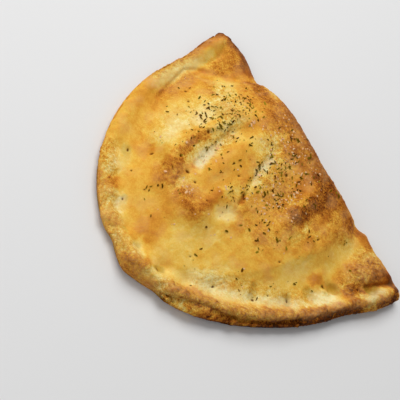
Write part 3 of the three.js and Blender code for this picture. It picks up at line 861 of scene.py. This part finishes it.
# What tints the crust: with which colour, how strongly, and how much of that only in specks.
CRUST_TINTS = [
    # oiled: oil in hollows, with painted shade
    ("oiled_and_shaded", "8c6c10", 0.6, 0), ("raw", "eadcb4", 0.9, 0.4), ("dry", "dca86c", 0.3, 0.4),
    # hole: painted shade inside the holes
    ("dusted", "dea96a", 0.6, 0.85), ("hole", "6a3a00", 0.85, 0),
]
GRIT = dict(size=0.9, height=0.4, contrast=0.7)  # crumbs of the skin, mm
FLOUR = dict(size=1.8, start=0.47, whole=0.62)  # specks, mm, and where in their noise they show
# How the colour of dried leaf goes from brown to grey-green.
LEAF_STOPS = [(0.0, "502800"), (0.3, "5c3e00"), (0.65, "6a5200"), (1.0, "907e1c")]
FOOD_IOR = 1.45  # of starch, fat and dried leaf alike
# The sockets of a Mix node that take and give colours.
MIX_A, MIX_B, MIX_RESULT = 6, 7, 2


def linear(hex_colour):
    """An sRGB colour such as "d9a24a" as linear red, green, blue and alpha."""
    srgb = [int(hex_colour[i:i + 2], 16) / 255 for i in (0, 2, 4)]
    return [c / 12.92 if c <= 0.04045 else ((c + 0.055) / 1.055) ** 2.4 for c in srgb] + [1]


def add(tree, kind, settings, feeds):
    """Adds a node: settings are its properties or its sockets' values, feeds what is linked in."""
    node = tree.nodes.new(kind)
    for name, value in settings.items():
        if isinstance(name, str) and hasattr(node, name):
            setattr(node, name, value)
        else:
            node.inputs[name].default_value = value
    for name, source in feeds.items():
        tree.links.new(source, node.inputs[name])
    return node


def new_finish(name):
    """An empty material and its tree of nodes."""
    material = bpy.data.materials.new(name)
    material.use_nodes = True
    material.node_tree.nodes.clear()
    return material, material.node_tree


def set_stops(ramp, stops):
    """Gives a colour ramp its stops, each a position and an sRGB colour."""
    elements = ramp.color_ramp.elements
    while len(elements) < len(stops):
        elements.new(0.5)
    for element, (position, colour) in zip(elements, stops):
        element.position = position
        element.color = linear(colour)


def baked_crust():
    """Wheat dough baked in a hot oven: sugar and oil on its skin turn from cream through gold to
    brown with the heat, so that what stands up is darker. Dry with a faint oily gloss."""
    material, tree = new_finish("baked_dough_crust")
    place = add(tree, "ShaderNodeTexCoord", {}, {}).outputs["Object"]
    bake = add(tree, "ShaderNodeAttribute", {"attribute_name": "bake"}, {}).outputs["Fac"]
    coarse = add(tree, "ShaderNodeAttribute", {"attribute_name": "coarse"}, {}).outputs["Fac"]
    grit = add(tree, "ShaderNodeTexNoise",
               {"Scale": 1 / (GRIT["size"] * MM), "Detail": 3.0, "Roughness": 0.75},
               {"Vector": place}).outputs["Fac"]
    evened = add(tree, "ShaderNodeMath", {"operation": "SUBTRACT", 1: 0.5}, {0: grit}).outputs[0]
    lively = add(tree, "ShaderNodeMath", {"operation": "SUBTRACT", 0: FADED, "use_clamp": True},
                 {1: bake}).outputs[0]
    pitted = add(tree, "ShaderNodeMath", {"operation": "MULTIPLY"}, {0: evened, 1: coarse}).outputs[0]
    speckle = add(tree, "ShaderNodeMath", {"operation": "MULTIPLY"}, {0: pitted, 1: lively}).outputs[0]
    total = add(tree, "ShaderNodeMath", {"operation": "MULTIPLY_ADD", 1: GRIT["contrast"]},
                {0: speckle, 2: bake})
    colour = add(tree, "ShaderNodeValToRGB", {}, {"Fac": total.outputs[0]})
    set_stops(colour, CRUST_STOPS)
    surface = colour.outputs["Color"]
    flour = add(tree, "ShaderNodeTexNoise",
                {"Scale": 1 / (FLOUR["size"] * MM), "Detail": 4.0, "Roughness": 0.8},
                {"Vector": place}).outputs["Fac"]
    specks = add(tree, "ShaderNodeMapRange", {"From Min": FLOUR["start"], "From Max": FLOUR["whole"]},
                 {"Value": flour})
    for name, tint, strength, speckled in CRUST_TINTS:
        amount = add(tree, "ShaderNodeAttribute", {"attribute_name": name}, {}).outputs["Fac"]
        shown = add(tree, "ShaderNodeMapRange",
                    {"To Min": strength * (1 - speckled), "To Max": strength},
                    {"Value": specks.outputs[0]})
        share = add(tree, "ShaderNodeMath", {"operation": "MULTIPLY", "use_clamp": True},
                    {0: amount, 1: shown.outputs[0]})
        surface = add(tree, "ShaderNodeMix", {"data_type": "RGBA", MIX_B: linear(tint)},
                      {0: share.outputs[0], MIX_A: surface}).outputs[MIX_RESULT]
    raised = add(tree, "ShaderNodeMath", {"operation": "MULTIPLY"}, {0: grit, 1: coarse}).outputs[0]
    bump = add(tree, "ShaderNodeBump", {"Strength": 1.0, "Distance": GRIT["height"] * MM},
               {"Height": raised})
    shader = add(tree, "ShaderNodeBsdfPrincipled",
                 {"Roughness": 0.55, "IOR": FOOD_IOR, "Specular IOR Level": 0.08,
                  "Subsurface Weight": 0.08, "Subsurface Scale": 1.2 * MM},
                 {"Base Color": surface, "Normal": bump.outputs["Normal"]})
    add(tree, "ShaderNodeOutputMaterial", {}, {"Surface": shader.outputs["BSDF"]})
    return material


def dried_leaf():
    """Dried oregano and parsley: dull crumbled leaf, from brown to grey-green."""
    material, tree = new_finish("dried_herb_leaf")
    shade = add(tree, "ShaderNodeAttribute", {"attribute_name": "shade"}, {}).outputs["Fac"]
    colour = add(tree, "ShaderNodeValToRGB", {}, {"Fac": shade})
    set_stops(colour, LEAF_STOPS)
    shader = add(tree, "ShaderNodeBsdfPrincipled",
                 {"Roughness": 0.8, "IOR": FOOD_IOR, "Specular IOR Level": 0.05},
                 {"Base Color": colour.outputs["Color"]})
    add(tree, "ShaderNodeOutputMaterial", {}, {"Surface": shader.outputs["BSDF"]})
    return material


def melted_cheese():
    """Grated hard cheese, dried out in the oven: creamy, with a soft fatty gloss."""
    material, tree = new_finish("grated_hard_cheese")
    shader = add(tree, "ShaderNodeBsdfPrincipled",
                 {"Base Color": linear("dcae7c"), "Roughness": 0.5, "IOR": FOOD_IOR,
                  "Subsurface Weight": 0.15, "Subsurface Scale": 1.0 * MM}, {})
    add(tree, "ShaderNodeOutputMaterial", {}, {"Surface": shader.outputs["BSDF"]})
    return material


# ------------------------------------------------------------------ pieces
def piece(name, bm, finish, marks=None):
    """Turns a bmesh in mm into a finished piece in the frame's place."""
    bm.transform(Matrix.Translation(to_frame) @ Matrix.Scale(MM, 4))
    mesh = bpy.data.meshes.new(name)
    bm.to_mesh(mesh)
    bm.free()
    for mark, values in (marks or {}).items():
        attribute = mesh.attributes.new(mark, "FLOAT", "POINT")
        attribute.data.foreach_set("value", values.astype(np.float32))
    for polygon in mesh.polygons:
        polygon.use_smooth = name == "crust"
    mesh.materials.append(finish)
    made = bpy.data.objects.new(name, mesh)
    bpy.context.scene.collection.objects.link(made)
    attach(made, "root")
    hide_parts("calzone")


crust, crust_marks = shape_crust()
crust_tree = BVHTree.FromBMesh(crust)
strewn_herbs, strewn_cheese = herbs(crust_tree), cheese(crust_tree)
piece("crust", crust, baked_crust(), crust_marks)
piece("herb_flakes", strewn_herbs, dried_leaf())
piece("cheese_grains", strewn_cheese, melted_cheese())

# ------------------------------------------------------------------ floor, light and camera
CAMERA_AT = Vector((31.9, -303.3, 478.4)) * MM
CAMERA_AIM = Vector((-17.2, -9.4, 0)) * MM  # on the floor, in the middle of the view
CAMERA_ROLL = 48.7  # degrees
VIEW_ANGLE = 27  # degrees, across the square view
WINDOW = dict(direction=Vector((-0.83, 0.43, 1.5)).normalized(), watts=15.3)
PALE_WALL = dict(direction=Vector((-0.6, -0.8, 0.6)).normalized(), watts=4)
LAMP_DISTANCE = 1.4  # metres
LAMP_SIZE = 0.9  # metres
ROOM_LIGHT = 0.34  # what comes evenly from all sides
FLOOR_SIZE = 3  # metres, from the middle to a side


def floor():
    bm = bmesh.new()
    bmesh.ops.create_grid(bm, x_segments=1, y_segments=1, size=FLOOR_SIZE)
    mesh = bpy.data.meshes.new("floor")
    bm.to_mesh(mesh)
    bm.free()
    material, tree = new_finish("pale_floor")
    shader = add(tree, "ShaderNodeBsdfPrincipled",
                 {"Base Color": linear("dcdcdc"), "Roughness": 0.9}, {})
    add(tree, "ShaderNodeOutputMaterial", {}, {"Surface": shader.outputs["BSDF"]})
    mesh.materials.append(material)
    made = bpy.data.objects.new("floor", mesh)
    bpy.context.scene.collection.objects.link(made)


def lamp(name, direction, watts):
    data = bpy.data.lights.new(name, "AREA")
    data.size = LAMP_SIZE
    data.energy = watts
    made = bpy.data.objects.new(name, data)
    made.location = direction * LAMP_DISTANCE
    made.rotation_euler = direction.to_track_quat("Z", "Y").to_euler()
    bpy.context.scene.collection.objects.link(made)


def camera():
    data = bpy.data.cameras.new("camera")
    data.angle = math.radians(VIEW_ANGLE)
    made = bpy.data.objects.new("camera", data)
    look = (CAMERA_AT - CAMERA_AIM).to_track_quat("Z", "Y").to_matrix()
    rolled = look @ Matrix.Rotation(math.radians(CAMERA_ROLL), 3, "Z")
    made.matrix_world = Matrix.Translation(CAMERA_AT) @ rolled.to_4x4()
    bpy.context.scene.collection.objects.link(made)
    bpy.context.scene.camera = made


def room():
    world = bpy.data.worlds.new("room")
    world.use_nodes = True
    walls = world.node_tree.nodes["Background"]
    walls.inputs["Color"].default_value = linear("ffffff")
    walls.inputs["Strength"].default_value = ROOM_LIGHT
    bpy.context.scene.world = world


floor()
lamp("window", **WINDOW)
lamp("pale_wall", **PALE_WALL)
camera()
room()
bpy.context.scene.view_settings.view_transform = "Standard"
